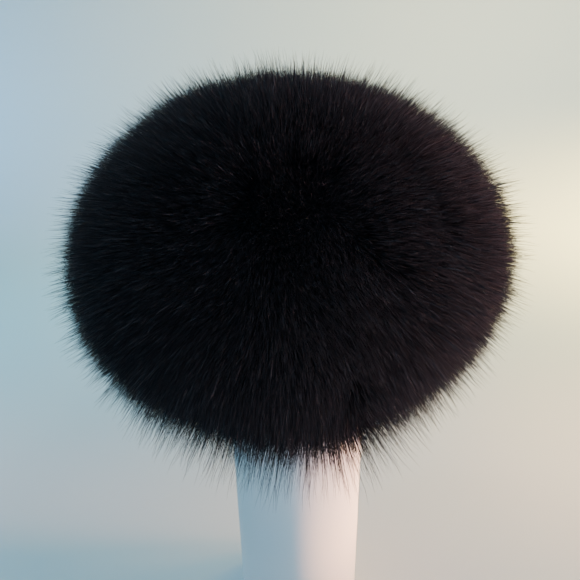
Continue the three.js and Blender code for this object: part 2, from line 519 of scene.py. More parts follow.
def hair_tone_group() -> Tree:
    """Shader group of the colour along a hair, with patches of browner and greyer hair. Its darker root is
    painted shade deep in the fur; its lighter tips and rare light hairs are partly the hair's own colour
    and partly painted glints.

    Returns:
        A group that puts out a colour and a roughness.
    """
    inputs = dict.fromkeys(("Root", "Middle", "Tip", "Grey"), COLOUR)
    inputs |= dict.fromkeys(("Grey Share", "Roughness"), FLOAT)
    outputs = {"Colour": COLOUR, "Roughness": FLOAT}
    make, given, result = new_group("hair_tone", "ShaderNodeTree", inputs, outputs)
    sizes = given.outputs
    along = make.add("ShaderNodeAttribute", attribute_name="along").outputs["Fac"]
    tone = make.add("ShaderNodeAttribute", attribute_name="tone").outputs["Fac"]
    patch_scale, patch_detail, patch_roughness, tone_weight = 14.0, 2.0, 0.25, 0.8
    patch = make.noise(patch_scale, patch_detail)
    lower, upper = make.stretch(along, 0.15, 0.6), make.stretch(along, 0.55, 1.0)
    upper = make.math("MULTIPLY", upper, make.math("MULTIPLY_ADD", tone, tone_weight, patch))
    # From root to middle: the darker root is painted shade deep in the fur.
    colour = make.mix("RGBA", lower, sizes["Root"], sizes["Middle"])
    # Towards the lighter tips, more in some patches: the hair's own tone and partly painted glint.
    colour = make.mix("RGBA", make.math("MINIMUM", upper, 1.0), colour, sizes["Tip"])
    # Rare light hairs: partly grey hairs, partly painted glints.
    rare = make.math("GREATER_THAN", tone, make.math("SUBTRACT", 1.0, sizes["Grey Share"]))
    colour = make.mix("RGBA", rare, colour, sizes["Grey"])
    offset = make.math("SUBTRACT", patch, 0.5)
    rough = make.math("MULTIPLY_ADD", offset, patch_roughness, sizes["Roughness"])
    for name, value in (("Colour", colour), ("Roughness", rough)):
        make.feed(result.inputs[name], value)
    return make.tree


@dataclass(frozen=True)
class Finish:
    """A finish whose colour and roughness come from a shared shader group."""

    name: str
    roughness: float  # middle roughness
    specular: float  # strength of the reflection

    def start(self, group: Tree, colour: Triple, values: dict[str, object]) -> tuple[Material, Node, Node]:
        """A new material with the group placed in it.

        Args:
            group: the shared group.
            colour: the colour outside renders.
            values: the group's inputs, apart from the roughness, by name.

        Returns:
            The material, the placed group and the shader that it feeds.
        """
        material = bpy.data.materials.new(self.name)
        material.use_nodes = True
        material.diffuse_color = (*colour, 1.0)
        make = NodeMaker(material.node_tree)
        placed = make.add("ShaderNodeGroup", node_tree=group)
        for key, value in {**values, "Roughness": self.roughness}.items():
            placed.inputs[key].default_value = value
        shader = material.node_tree.nodes["Principled BSDF"]
        make.feed(shader.inputs["Base Color"], placed.outputs["Colour"])
        make.feed(shader.inputs["Roughness"], placed.outputs["Roughness"])
        shader.inputs["Specular IOR Level"].default_value = self.specular
        return material, placed, shader


@dataclass(frozen=True)
class GrainFinish(Finish):
    """Skin, paint or under-fur: a surface with fine grain and soft mottling."""

    colour: Triple  # main colour
    worn: Triple  # colour of the mottling
    mottle: float  # scale of the mottling
    grain: float  # scale of the grain
    spread: float  # spread of the roughness
    bump: float  # depth of the grain, in metres
    sheen: float = 0.0  # weight of the soft nap
    strength: float = 0.6  # how strongly the grain shades

    def build(self, group: Tree) -> Material:
        """The material, with the grain group feeding its shader.

        Args:
            group: the grain group.

        Returns:
            The material.
        """
        values = {
            "Colour": (*self.colour, 1.0),
            "Worn Colour": (*self.worn, 1.0),
            "Mottle Scale": self.mottle,
            "Grain Scale": self.grain,
            "Roughness Spread": self.spread,
        }
        material, grain, shader = self.start(group, self.colour, values)
        make = NodeMaker(material.node_tree)
        bump_values = {"Distance": self.bump, "Height": grain.outputs["Height"]}
        bump = make.add("ShaderNodeBump", {**bump_values, "Strength": self.strength})
        make.feed(shader.inputs["Normal"], bump.outputs["Normal"])
        shader.inputs["Sheen Weight"].default_value = self.sheen
        return material


@dataclass(frozen=True)
class HairFinish(Finish):
    """Glossy black hair, brown at the tips, with a few grey hairs. The darker root is painted shade deep in
    the fur; the lighter tips and the light hairs are partly their own colour and partly painted glints.
    """

    middle: Triple  # colour of most of the hair
    tip: Triple  # colour of the tips: their own brown, lightened partly as painted glint
    grey: Triple  # colour of the rare light hairs: partly grey hair, partly painted glint
    grey_share: float  # share of light hairs, partly grey hairs and partly painted glints
    root: Triple = (0.0050, 0.0045, 0.0050)  # colour near the skin, darker as painted shade deep in the fur

    def build(self, group: Tree) -> Material:
        """The material, with the hair tone group feeding its shader.

        Args:
            group: the hair tone group.

        Returns:
            The material.
        """
        colours = {"Root": self.root, "Middle": self.middle, "Tip": self.tip, "Grey": self.grey}
        values = {name: (*colour, 1.0) for name, colour in colours.items()}
        return self.start(group, self.middle, {**values, "Grey Share": self.grey_share})[0]


@dataclass
class Finishes:
    """Every finish of the hat and its post, built once."""

    fur: Material = field(init=False)
    wool: Material = field(init=False)
    under_fur: Material = field(init=False)
    pelt: Material = field(init=False)
    post: Material = field(init=False)

    def __post_init__(self) -> None:
        """Builds the shared groups and the materials."""
        grain, tone = grain_group(), hair_tone_group()
        # In both hair finishes the darker root is painted shade deep in the fur, and the lighter tips and
        # grey hairs are partly their own colour and partly painted glints.
        self.fur = HairFinish(
            "long_black_hair",
            roughness=0.42,
            specular=0.28,
            middle=(0.0120, 0.0096, 0.0109),
            tip=(0.0190, 0.0145, 0.0166),
            grey=(0.070, 0.061, 0.066),
            grey_share=0.04,
        ).build(tone)
        self.wool = HairFinish(
            "black_wool",
            roughness=0.60,
            specular=0.10,
            middle=(0.0120, 0.0100, 0.0115),
            tip=(0.0175, 0.0138, 0.0158),
            grey=(0.036, 0.033, 0.037),
            grey_share=0.02,
        ).build(tone)
        # The under-fur's near-black colour, darker than the hair around it, is painted shade of the deep
        # fur.
        self.under_fur = GrainFinish(
            "under_fur",
            roughness=0.95,
            specular=0.1,
            colour=(0.0022, 0.0021, 0.0026),
            worn=(0.0045, 0.0035, 0.0038),
            mottle=60.0,
            grain=900.0,
            spread=0.05,
            bump=0.0006,
        ).build(grain)
        self.pelt = GrainFinish(
            "pelt_skin_side",
            roughness=0.85,
            specular=0.3,
            colour=(0.030, 0.023, 0.019),
            worn=(0.050, 0.038, 0.030),
            mottle=35.0,
            grain=1400.0,
            spread=0.15,
            bump=0.0002,
            sheen=0.3,
        ).build(grain)
        self.post = GrainFinish(
            "matt_white_paint",
            roughness=0.55,
            specular=0.45,
            colour=(0.80, 0.795, 0.785),
            worn=(0.775, 0.77, 0.76),
            mottle=9.0,
            grain=900.0,
            spread=0.10,
            bump=0.00005,
        ).build(grain)


# Hair


@dataclass(frozen=True)
class HairCut:
    """How the hair of one coat is made. Its fields are the hair tree's inputs of the same names."""

    density: float  # hairs on a square metre of bed
    width: float  # width of a hair at its root, in metres
    segments: int  # lengths that a hair is made of
    clump: float  # space between clumps, in metres
    pull: float  # how far a hair's tip is drawn to its clump, 0 to 1
    shared: float  # share of the extra length that a clump's hairs have in common, 0 to 1
    stray: float  # how far hairs leave the combed way, as a tangent
    bend: float  # how far a hair bows to one side, as a share of its length
    cap: float  # most that a hair stands past its usual reach, in lengths of the coat's tail
    seed: int  # seed of everything random in it


class Draw(Enum):
    """What each random draw of the hair tree adds to the seed."""

    OWN_LENGTH = 3.0
    CLUMP_LENGTH = 5.0
    STRAY = 7.0
    PULL = 9.0
    TONE = 13.0
    SPIN = 15.0
    WIDTH = 17.0
    BOW = 19.0
    CLUMPS = 31.0


@dataclass
class HairTree:
    """Geometry tree that grows clumped, tapered hairs on a bed.

    The bed's points hold the attributes comb, the way of the hair, reach, its usual length, and
    tail, how fast longer hairs grow rare. Each hair is a three-sided spike with a bend in it.
    """

    clump_density: float = 200000.0  # most clumps on a square metre of bed
    least_share: float = 0.002  # least random share that a length is drawn from
    weakest_pull: float = 0.35  # least share of the pull that a hair feels
    girths: Span = (0.7, 1.3)  # least and greatest width of a hair, as a share of the usual one
    crowding: float = 0.36  # power that moves a hair's rings towards its tip; under 1
    fullness: float = 6.0  # power that keeps a hair full until late
    full_turn: float = 6.283  # radians that a hair may be spun by
    tree: Tree = field(init=False)  # the finished tree, with named inputs for every size
    make: NodeMaker = field(init=False)  # maker of the tree's nodes
    sizes: bpy.types.NodeOutputs = field(init=False)  # the tree's inputs, by name
    position: Socket = field(init=False)  # place of each point or corner

    def __post_init__(self) -> None:
        """Builds the tree."""
        geometry = {"Geometry": "NodeSocketGeometry"}
        inputs = {**geometry, "Material": "NodeSocketMaterial"}
        inputs |= dict.fromkeys(("Segments", "Seed"), "NodeSocketInt")
        inputs |= dict.fromkeys(("Density", "Width", "Clump", "Pull", "Shared", "Stray"), FLOAT)
        inputs |= dict.fromkeys(("Bend", "Cap"), FLOAT)
        self.make, given, result = new_group("long_hair", "GeometryNodeTree", inputs, geometry)
        self.tree, self.sizes = self.make.tree, given.outputs
        self.position = self.make.add("GeometryNodeInputPosition").outputs[0]
        roots = self.scatter("RANDOM", {"Density": self.sizes["Density"], "Seed": self.sizes["Seed"]})
        roots, tip = self.combed(roots)
        hairs = self.bent(self.placed(roots, self.spike(), tip))
        hairs = self.make.add("GeometryNodeSetShadeSmooth", {"Geometry": hairs}).outputs[0]
        for spent in ("hair_half", "hair_tip"):
            values = {"Geometry": hairs, "Name": spent}
            hairs = self.make.add("GeometryNodeRemoveAttribute", values).outputs[0]
        values = {"Geometry": hairs, "Material": self.sizes["Material"]}
        dressed = self.make.add("GeometryNodeSetMaterial", values)
        self.make.feed(result.inputs[0], dressed.outputs[0])

    def scatter(self, method: str, values: dict[str, object]) -> Socket:
        """Points scattered on the bed by one of the node's methods.

        Args:
            method: RANDOM or POISSON.
            values: the node's inputs, apart from the bed.

        Returns:
            The points.
        """
        values = {"Mesh": self.sizes["Geometry"], **values}
        kind = "GeometryNodeDistributePointsOnFaces"
        return self.make.add(kind, values, distribute_method=method).outputs["Points"]

    def attribute(self, name: str, kind: str = "FLOAT") -> Socket:
        """A named attribute of the geometry that it is read on."""
        node = self.make.add("GeometryNodeInputNamedAttribute", {"Name": name}, data_type=kind)
        return node.outputs["Attribute"]

    def store(self, geometry: Socket, name: str, kind: str, value: Socket) -> Socket:
        """The geometry with a value stored on its points.

        Args:
            geometry: mesh or points.
            name: name of the attribute.
            kind: its data type.
            value: what is stored.

        Returns:
            The same geometry with the attribute.
        """
        values = {"Geometry": geometry, "Name": name, "Value": value}
        node = self.make.add("GeometryNodeStoreNamedAttribute", values, data_type=kind, domain="POINT")
        return node.outputs["Geometry"]

    def seed(self, draw: Draw) -> Socket:
        """Seed of one random draw."""
        return self.make.math("ADD", self.sizes["Seed"], draw.value)

    def dice(self, draw: Draw, low: object, high: object, key: Socket | None = None) -> Socket:
        """Random numbers or vectors.

        Args:
            draw: the draw that they are for.
            low: least number or vector.
            high: greatest number or vector.
            key: what they go by, if not by the point.

        Returns:
            The random values.
        """
        kind = "FLOAT_VECTOR" if isinstance(low, tuple) else "FLOAT"
        node = self.make.add("FunctionNodeRandomValue", data_type=kind)
        sockets = [s for s in node.inputs if s.enabled and s.name in ("Min", "Max")]
        for socket, value in zip(sockets, (low, high)):
            self.make.feed(socket, value)
        self.make.feed(node.inputs["Seed"], self.seed(draw))
        if key is not None:
            self.make.feed(node.inputs["ID"], key)
        return next(s for s in node.outputs if s.enabled)

    def lengths(self, nearest: Socket) -> Socket:
        """Each hair's length: the usual reach, and an extra that grows rare, partly the clump's own.

        Args:
            nearest: number of the nearest clump.

        Returns:
            Lengths in metres.
        """
        make = self.make
        own, shared = (
            make.math("MULTIPLY", make.math("LOGARITHM", even, math.e), -1.0)
            for even in (
                make.math("MAXIMUM", self.dice(Draw.OWN_LENGTH, 0.0, 1.0), self.least_share),
                make.math("MAXIMUM", self.dice(Draw.CLUMP_LENGTH, 0.0, 1.0, nearest), self.least_share),
            )
        )
        part = make.math("MULTIPLY", make.math("SUBTRACT", shared, own), self.sizes["Shared"])
        extra = make.math("MINIMUM", make.math("ADD", own, part), self.sizes["Cap"])
        extra = make.math("MULTIPLY", extra, self.attribute("tail"))
        return make.math("ADD", self.attribute("reach"), extra)

    def combed(self, roots: Socket) -> tuple[Socket, Socket]:
        """The roots with the way of each hair stored on them, and the way to its tip.

        Args:
            roots: a point for each hair.

        Returns:
            The roots, with hair_half, hair_tip and tone stored, and the way from root to tip.
        """
        make, sizes = self.make, self.sizes
        all_ways = ((-1.0, -1.0, -1.0), (1.0, 1.0, 1.0))
        values = {"Distance Min": sizes["Clump"], "Density Max": self.clump_density}
        clumps = self.scatter("POISSON", {**values, "Seed": self.seed(Draw.CLUMPS)})
        found = make.add("GeometryNodeSampleNearest", {"Geometry": clumps}, domain="POINT")
        nearest = found.outputs["Index"]

        def of_clump(value: Socket) -> Socket:
            """A vector of the nearest clump.

            Args:
                value: the vector at every clump.

            Returns:
                The vector at each hair's clump.
            """
            values = {"Geometry": clumps, "Value": value, "Index": nearest}
            kind = {"data_type": "FLOAT_VECTOR", "domain": "POINT"}
            return make.add("GeometryNodeSampleIndex", values, **kind).outputs["Value"]

        comb = self.attribute("comb", "FLOAT_VECTOR")
        length = self.lengths(nearest)
        stray = make.scaled(self.dice(Draw.STRAY, *all_ways), sizes["Stray"])
        way = make.vector("NORMALIZE", make.vector("ADD", comb, stray))
        to_clump = make.vector("SUBTRACT", of_clump(self.position), self.position)
        clump_tip = make.vector("ADD", to_clump, make.scaled(of_clump(comb), length))
        pull = make.math("MULTIPLY", sizes["Pull"], self.dice(Draw.PULL, self.weakest_pull, 1.0))
        tip = make.mix("VECTOR", pull, make.scaled(way, length), clump_tip)
        bow = make.scaled(self.dice(Draw.BOW, *all_ways), sizes["Bend"])
        half = make.scaled(make.vector("ADD", make.scaled(way, 0.5), bow), length)
        roots = self.store(roots, "hair_half", "FLOAT_VECTOR", half)
        roots = self.store(roots, "hair_tip", "FLOAT_VECTOR", tip)
        return self.store(roots, "tone", "FLOAT", self.dice(Draw.TONE, 0.0, 1.0)), tip

    def spike(self) -> Socket:
        """One hair, one unit wide and long, with its rings near the tip, that thins late.

        Returns:
            The hair's mesh, with its height from 0 to 1 stored as along.
        """
        make = self.make
        values = {"Vertices": 3, "Side Segments": self.sizes["Segments"], "Fill Segments": 1}
        values.update({"Radius Top": 0.0, "Radius Bottom": 0.5, "Depth": 1.0})
        cone = make.add("GeometryNodeMeshCone", values, fill_type="NGON").outputs["Mesh"]
        height = make.add("ShaderNodeSeparateXYZ", {0: self.position}).outputs["Z"]
        late = make.math("POWER", height, self.crowding)
        cone = self.store(cone, "along", "FLOAT", late)
        full = make.math("SUBTRACT", 1.0, make.math("POWER", late, self.fullness))
        straight = make.math("MAXIMUM", make.math("SUBTRACT", 1.0, height), 0.001)
        fuller = make.math("DIVIDE", full, straight)
        girth = make.add("ShaderNodeCombineXYZ", {0: fuller, 1: fuller, 2: 0.0}).outputs[0]
        values = {"Geometry": cone, "Position": make.vector("MULTIPLY", self.position, girth)}
        return make.add("GeometryNodeSetPosition", values).outputs[0]

    def placed(self, roots: Socket, spike: Socket, tip: Socket) -> Socket:
        """Spikes on their roots, made real: turned towards their tips, and spun at random.

        Args:
            roots: a point for each hair.
            spike: mesh of one hair.
            tip: way from root to tip.

        Returns:
            The mesh of all hairs.
        """
        make = self.make
        aligned = make.add("FunctionNodeAlignRotationToVector", {"Vector": tip}, axis="Z").outputs[0]
        spin_values = {0: (0.0, 0.0, 1.0), 1: self.dice(Draw.SPIN, 0.0, self.full_turn)}
        spin = make.add("FunctionNodeAxisAngleToRotation", spin_values).outputs[0]
        turned = make.add("FunctionNodeRotateRotation", {0: aligned, 1: spin}, rotation_space="LOCAL")
        size = make.math("MULTIPLY", self.sizes["Width"], self.dice(Draw.WIDTH, *self.girths))
        scale = make.add("ShaderNodeCombineXYZ", {0: size, 1: size, 2: size}).outputs[0]
        values = {"Points": roots, "Instance": spike, "Rotation": turned.outputs[0], "Scale": scale}
        spikes = make.add("GeometryNodeInstanceOnPoints", values).outputs[0]
        return make.add("GeometryNodeRealizeInstances", {"Geometry": spikes}).outputs[0]

    def bent(self, hairs: Socket) -> Socket:
        """Hairs drawn out along their curves, from the root by the half point to the tip.

        Args:
            hairs: mesh of all hairs, each one unit long times its width.

        Returns:
            The hairs in their shapes.
        """
        make = self.make
        t = self.attribute("along")
        middle = make.math("MULTIPLY", make.math("MULTIPLY", t, make.math("SUBTRACT", 1.0, t)), 2.0)
        by_half = make.scaled(self.attribute("hair_half", "FLOAT_VECTOR"), middle)
        by_tip = make.scaled(self.attribute("hair_tip", "FLOAT_VECTOR"), make.math("MULTIPLY", t, t))
        values = {"Geometry": hairs, "Offset": make.vector("ADD", by_half, by_tip)}
        return make.add("GeometryNodeSetPosition", values).outputs[0]


@dataclass(frozen=True)
class Reach:
    """How far the hair of a coat stands. All sizes are metres."""

    short: float  # how far short of the dense outline most hairs end at the sides
    rim_short: float  # the same at the rim
    tail: float  # distance over which longer hairs grow rarer, at the sides
    rim_tail: float  # the same at the rim


@dataclass
class Coat:
    """The hair of one stretch of the hat: a bed under the dense fur, and the hairs grown on it."""

    name: str
    form: FurForm
    node: Part  # node of the model that the hair stands for
    azimuths: Span  # first and last azimuth of the bed, in degrees
    latitudes: Span  # lowest and highest latitude of the bed
    cut: HairCut  # how the hair is made
    reach: Reach  # how far it stands
    rim_zone: float = -12.0  # latitude below which the rim's reach sets in
    depth: float = 0.020  # depth of the bed below the dense outline
    step: float = 3.0  # degrees between the bed's points
    uneven: float = 0.0009  # how far the reach wanders, in metres
    waves: Waves = Waves(21, 0.045)  # the way that it wanders
    least_rise: float = 0.35  # least outward share of a hair's way, which keeps flat hairs short

    def bed(self) -> Object:
        """The bed as a mesh with the attributes comb, reach and tail on its points.

        Returns:
            The bed.
        """
        around = max(2, round((self.azimuths[1] - self.azimuths[0]) / self.step) + 1)
        up = max(2, round((self.latitudes[1] - self.latitudes[0]) / self.step) + 1)
        a, v = np.meshgrid(np.linspace(*self.azimuths, around), np.linspace(*self.latitudes, up))
        azimuth, latitude = a.ravel(), v.ravel()
        points = self.form.surface(azimuth, latitude, self.depth)
        faces = []
        for row in range(up - 1):
            for i in range(around - 1):
                low, high = row * around + i, (row + 1) * around + i
                faces.append((low, low + 1, high + 1, high))
        obj = mesh_object(self.name + "_bed", points, faces)
        comb = self.form.hair_way(azimuth, latitude, points)
        outward, _, _ = self.form.axes(azimuth, latitude)
        rise = np.clip((comb * outward).sum(axis=1), self.least_rise, 1.0)
        near_rim = smooth(self.rim_zone, self.form.rim_latitude, latitude)
        usual = self.reach
        short = usual.short + (usual.rim_short - usual.short) * near_rim
        uneven = self.uneven * self.waves.at(points)
        reach = (self.depth - short - self.form.sink(azimuth, latitude) + uneven) / rise
        tail = usual.tail + (usual.rim_tail - usual.tail) * near_rim
        for name, values in (("comb", comb), ("reach", reach), ("tail", tail)):
            kind, key = ("FLOAT", "value") if values.ndim == 1 else ("FLOAT_VECTOR", "vector")
            made = obj.data.attributes.new(name, kind, "POINT")
            made.data.foreach_set(key, values.astype(np.float32).ravel())
        return obj

    def grow(self, tree: Tree, material: Material) -> None:
        """Grows the hair as one plain mesh object.

        Args:
            tree: the hair tree.
            material: finish of the hair.
        """
        bed = self.bed()
        modifier = bed.modifiers.new("hair", "NODES")
        modifier.node_group = tree
        values = {name.capitalize(): value for name, value in asdict(self.cut).items()}
        values["Material"] = material
        for item in tree.interface.items_tree:
            if item.in_out == "INPUT" and item.name in values:
                modifier[item.identifier] = values[item.name]
        evaluated = bed.evaluated_get(bpy.context.evaluated_depsgraph_get())
        mesh = bpy.data.meshes.new_from_object(evaluated)
        mesh.name = self.name
        bed.modifiers.remove(modifier)
        bpy.data.objects.remove(bed)
        hair = bpy.data.objects.new(self.name, mesh)
        bpy.context.scene.collection.objects.link(hair)
        declare(hair, self.node)


@dataclass
class HatHair:
    """All the hair: wool and longer hair on the crown and the band's quarters, and a rim fringe."""

    form: FurForm
    finishes: Finishes
    back_density: float = 830000.0  # hairs of the wool on a square metre of bed at the back
    top: float = 89.2  # highest latitude of the crown's bed
    fringe_height: float = 6.0  # degrees that the fringe's bed is high
    wool: HairCut = HairCut(1060000.0, 0.00026, 1, 0.0030, 0.05, 0.0, 0.15, 0.0, 3.0, 101)  # short wool
    wool_reach: Reach = Reach(0.0012, 0.0130, 0.0019, 0.0110)  # how far it stands
    hair: HairCut = HairCut(225000.0, 0.00024, 2, 0.0026, 0.16, 0.16, 0.11, 0.11, 2.9, 201)  # longer hair
    hair_reach: Reach = Reach(0.0018, 0.0060, 0.0054, 0.0120)  # how far it stands
    fringe: HairCut = HairCut(960000.0, 0.00015, 2, 0.0040, 0.08, 0.10, 0.16, 0.13, 2.6, 301)  # rim fringe
    fringe_reach: Reach = Reach(0.0018, 0.0100, 0.0054, 0.0125)  # how far it stands

    def build(self) -> None:
        """Grows every coat, each with a seed of its own."""
        tree, form, dress = HairTree().tree, self.form, self.finishes
        seam, rim, round_about = form.part_latitude, form.rim_latitude, (0.0, 360.0)
        stretches = [("crown", Part.CROWN_FUR, round_about, (seam, self.top))]
        for quarter, name in enumerate(("back_right", "back_left", "front_left", "front_right")):
            azimuths = (90.0 * quarter, 90.0 * quarter + 90.0)
            stretches.append(("band_" + name, Part.BAND_FUR, azimuths, (rim, seam)))
        for index, (name, node, azimuths, latitudes) in enumerate(stretches):
            density = self.back_density if "back" in name else self.wool.density
            wool = replace(self.wool, density=density, seed=self.wool.seed + index)
            hair = replace(self.hair, seed=self.hair.seed + index)
            place = (form, node, azimuths, latitudes)
            Coat(name + "_wool", *place, wool, self.wool_reach).grow(tree, dress.wool)
            Coat(name + "_hair", *place, hair, self.hair_reach).grow(tree, dress.fur)
        place = (form, Part.BAND_FUR, round_about, (rim, rim + self.fringe_height))
        Coat("rim_fringe", *place, self.fringe, self.fringe_reach).grow(tree, dress.fur)


# Solid pieces


@dataclass
class HatSkin:
    """The hat's skin walls: an oval band that narrows upwards, closed by a flat oval crown."""

    rim_level: float  # height of the open rim, in metres
    crown_level: float  # height of the crown's flat top
    rim_half_width: float  # half width of the rim
    rim_half_depth: float  # half depth of the rim
    crown_half_width: float  # half width of the crown
    crown_half_depth: float  # half depth of the crown
    wall: float  # thickness of the skin
    gap: float = 0.0003  # space between crown and band, and between the skin and its fur
    sides: int = 128  # points in a ring
    steps: int = 12  # steps up a face of the band
    edge_steps: int = 8  # steps round the crown's edge
    shares: tuple[float, ...] = (0.04, 0.3, 0.6, 0.85)  # rings on the flat faces, as shares of them

    @classmethod
    def from_frame(cls) -> "HatSkin":
        """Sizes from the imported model's crown and band.

        Returns:
            The skin walls.
        """
        band_low, band_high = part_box(Part.BAND_PELT.value)
        crown_low, crown_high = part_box(Part.CROWN_PELT.value)
        wall = crown_high[2] - crown_low[2]
        return cls(band_low[2], crown_high[2], *band_high[:2], *crown_high[:2], wall)

    def ring(self, level: float, inset: float) -> Triple:
        """Half width, half depth and level of the wall, on its outer face or further in.

        Args:
            level: height in metres.
            inset: metres in from the outer face.

        Returns:
            One row of three sizes.
        """
        climb = (level - self.rim_level) / (self.crown_level - self.rim_level)
        wide = self.rim_half_width + (self.crown_half_width - self.rim_half_width) * climb
        deep = self.rim_half_depth + (self.crown_half_depth - self.rim_half_depth) * climb
        return wide - inset, deep - inset, level

    def face(self, low: float, high: float, inset: float) -> list[Triple]:
        """Rings of the wall between two levels, both included."""
        return [self.ring(low + (high - low) * k / self.steps, inset) for k in range(self.steps + 1)]

    def rounded(self, level: float, start: int, steps: int = 4) -> list[Triple]:
        """Rings round an edge of the wall, without the end points.

        Args:
            level: middle of the rounding, half a wall from the edge.
            start: 1 for an upper edge, met from outside, or -1 for a lower edge, met from inside.
            steps: steps round the edge.

        Returns:
            One row a ring.
        """
        rows = []
        for k in range(1, steps):
            angle = math.pi * k / steps
            inset = self.wall / 2.0 * (1.0 - start * math.cos(angle))
            wide, deep, _ = self.ring(level, inset)
            rows.append((wide, deep, level + start * self.wall / 2.0 * math.sin(angle)))
        return rows

    def band(self, material: Material) -> None:
        """Makes the band as a closed wall with softly rounded edges.

        Args:
            material: the finish that it gets.
        """
        low = self.rim_level + self.wall / 2.0
        high = self.crown_level - self.wall * 1.5 - self.gap
        outside, inside = self.face(low, high, 0.0), self.face(low, high, self.wall)[::-1]
        rows = np.array(outside + self.rounded(high, 1) + inside + self.rounded(low, -1))
        points, faces = ring_points(rows, self.sides, True), ring_faces(len(rows), self.sides, True)
        declare(mesh_object("band_skin", points, faces, material), Part.BAND_PELT)

    def crown(self, material: Material) -> None:
        """Makes the crown as a flat oval panel with a softly rounded edge.

        Args:
            material: the finish that it gets.
        """
        half = self.wall / 2.0
        middle = self.crown_level - half
        edge = []
        for k in range(self.edge_steps + 1):
            angle = math.pi * (k / self.edge_steps - 0.5)
            inset = half * (1.0 - math.cos(angle))
            size = (self.crown_half_width - inset, self.crown_half_depth - inset)
            edge.append((*size, middle + half * math.sin(angle)))
        wide, deep, _ = edge[0]
        under = [(wide * share, deep * share, middle - half) for share in self.shares]
        over = [(x, y, middle + half) for x, y, _ in under[::-1]]
        rows = np.array(under + edge + over)
        points, faces = ring_points(rows, self.sides, False), ring_faces(len(rows), self.sides, False)
        declare(mesh_object("crown_skin", points, faces, material), Part.CROWN_PELT)


@dataclass
class UnderFur:
    """The dense woolly body under the long hair, between the skin and a depth below the outline; its
    near-black finish is painted shade of the deep fur.
    """

    form: FurForm
    skin: HatSkin
    depth: float = 0.0155  # metres below the dense outline
    sides: int = 96  # points in a ring
    lumps: float = 0.0011  # depth of the uneven surface, in metres
    waves: Waves = Waves(41, 0.011, 24)  # the way that it is uneven
    part_gap: float = 0.3  # degrees from the seam to each side's edge
    top: float = 89.0  # highest latitude of the crown's outer face
    band_steps: int = 32  # steps up the band's outer face
    crown_steps: int = 26  # steps up the crown's outer face
    floor_rings: int = 10  # rings on the crown's flat under face

    def outside(self, low: float, high: float, steps: int) -> Array:
        """Ring after ring of points on the under-fur's outer face.

        Args:
            low: lowest latitude.
            high: highest latitude.
            steps: steps between them.

        Returns:
            Rows of x, y, z.
        """
        azimuths = np.arange(self.sides) * 360.0 / self.sides
        v, a = np.meshgrid(np.linspace(low, high, steps + 1), azimuths, indexing="ij")
        azimuth, latitude = a.ravel(), v.ravel()
        points = self.form.surface(azimuth, latitude, self.depth)
        outward, _, _ = self.form.axes(azimuth, latitude)
        lump = self.waves.at(points) * self.lumps - self.form.sink(azimuth, latitude)
        return points + outward * lump[:, None]

    def inside(self, rows: list[Triple]) -> Array:
        """Ring after ring of points just off the skin."""
        return ring_points(np.array(rows), self.sides, True)

    def band(self, material: Material) -> None:
        """Makes the under-fur of the band, from the rim up to the parting at the seam.

        Args:
            material: the finish that it gets.
        """
        skin, form = self.skin, self.form
        outer = self.outside(form.rim_latitude, form.part_latitude - self.part_gap, self.band_steps)
        inner = skin.face(skin.rim_level, skin.crown_level - skin.wall, -skin.gap)[::-1]
        body = np.concatenate([outer, self.inside(inner)])
        faces = ring_faces(len(body) // self.sides, self.sides, True)
        declare(mesh_object("band_under_fur", body, faces, material), Part.BAND_FUR)

    def crown(self, material: Material) -> None:
        """Makes the under-fur of the crown, from the parting at the seam up.

        Args:
            material: the finish that it gets.
        """
        skin, count = self.skin, self.floor_rings
        outer = self.outside(self.form.part_latitude + self.part_gap, self.top, self.crown_steps)
        wide, deep, floor = skin.crown_half_width, skin.crown_half_depth, skin.crown_level + skin.gap
        inner = self.inside([(wide * k / count, deep * k / count, floor) for k in range(1, count + 1)])
        ends = np.array([inner[: self.sides].mean(axis=0), outer[-self.sides :].mean(axis=0)])
        body = np.concatenate([inner, outer, ends])
        faces = ring_faces(len(body) // self.sides, self.sides, False)
        declare(mesh_object("crown_under_fur", body, faces, material), Part.CROWN_FUR)


@dataclass
class Post:
    """The plain round post, turned with softly rounded edges."""

    radius: float  # metres
    height: float  # metres
    edge: float = 0.0015  # radius of the rounded edges
    sides: int = 160  # points in a ring
    bands: int = 5  # rings along the straight side
    discs: tuple[float, ...] = (0.05, 0.4, 0.8)  # rings on the flat ends, as shares of them

    @classmethod
    def from_frame(cls) -> "Post":
        """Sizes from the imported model's post."""
        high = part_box(Part.POST.value)[1]
        return cls(high[0], high[2])

    def build(self, material: Material) -> None:
        """Makes the post as one closed mesh.

        Args:
            material: the finish that it gets.
        """
        turn = [math.radians(angle) for angle in range(0, 91, 15)]
        inner, edge, height = self.radius - self.edge, self.edge, self.height
        foot = [(inner + edge * math.sin(t), edge * (1.0 - math.cos(t))) for t in turn]
        side = [(self.radius, height * k / self.bands) for k in range(1, self.bands)]
        top = [(inner + edge * math.cos(t), height - edge * (1.0 - math.sin(t))) for t in turn]
        discs = [inner * share for share in self.discs]
        rows = [(r, 0.0) for r in discs] + foot + side + top + [(r, height) for r in discs[::-1]]
        rows = np.array([(radius, radius, level) for radius, level in rows])
        points, faces = ring_points(rows, self.sides, False), ring_faces(len(rows), self.sides, False)
        declare(mesh_object("round_post", points, faces, material), Part.POST)


# Studio


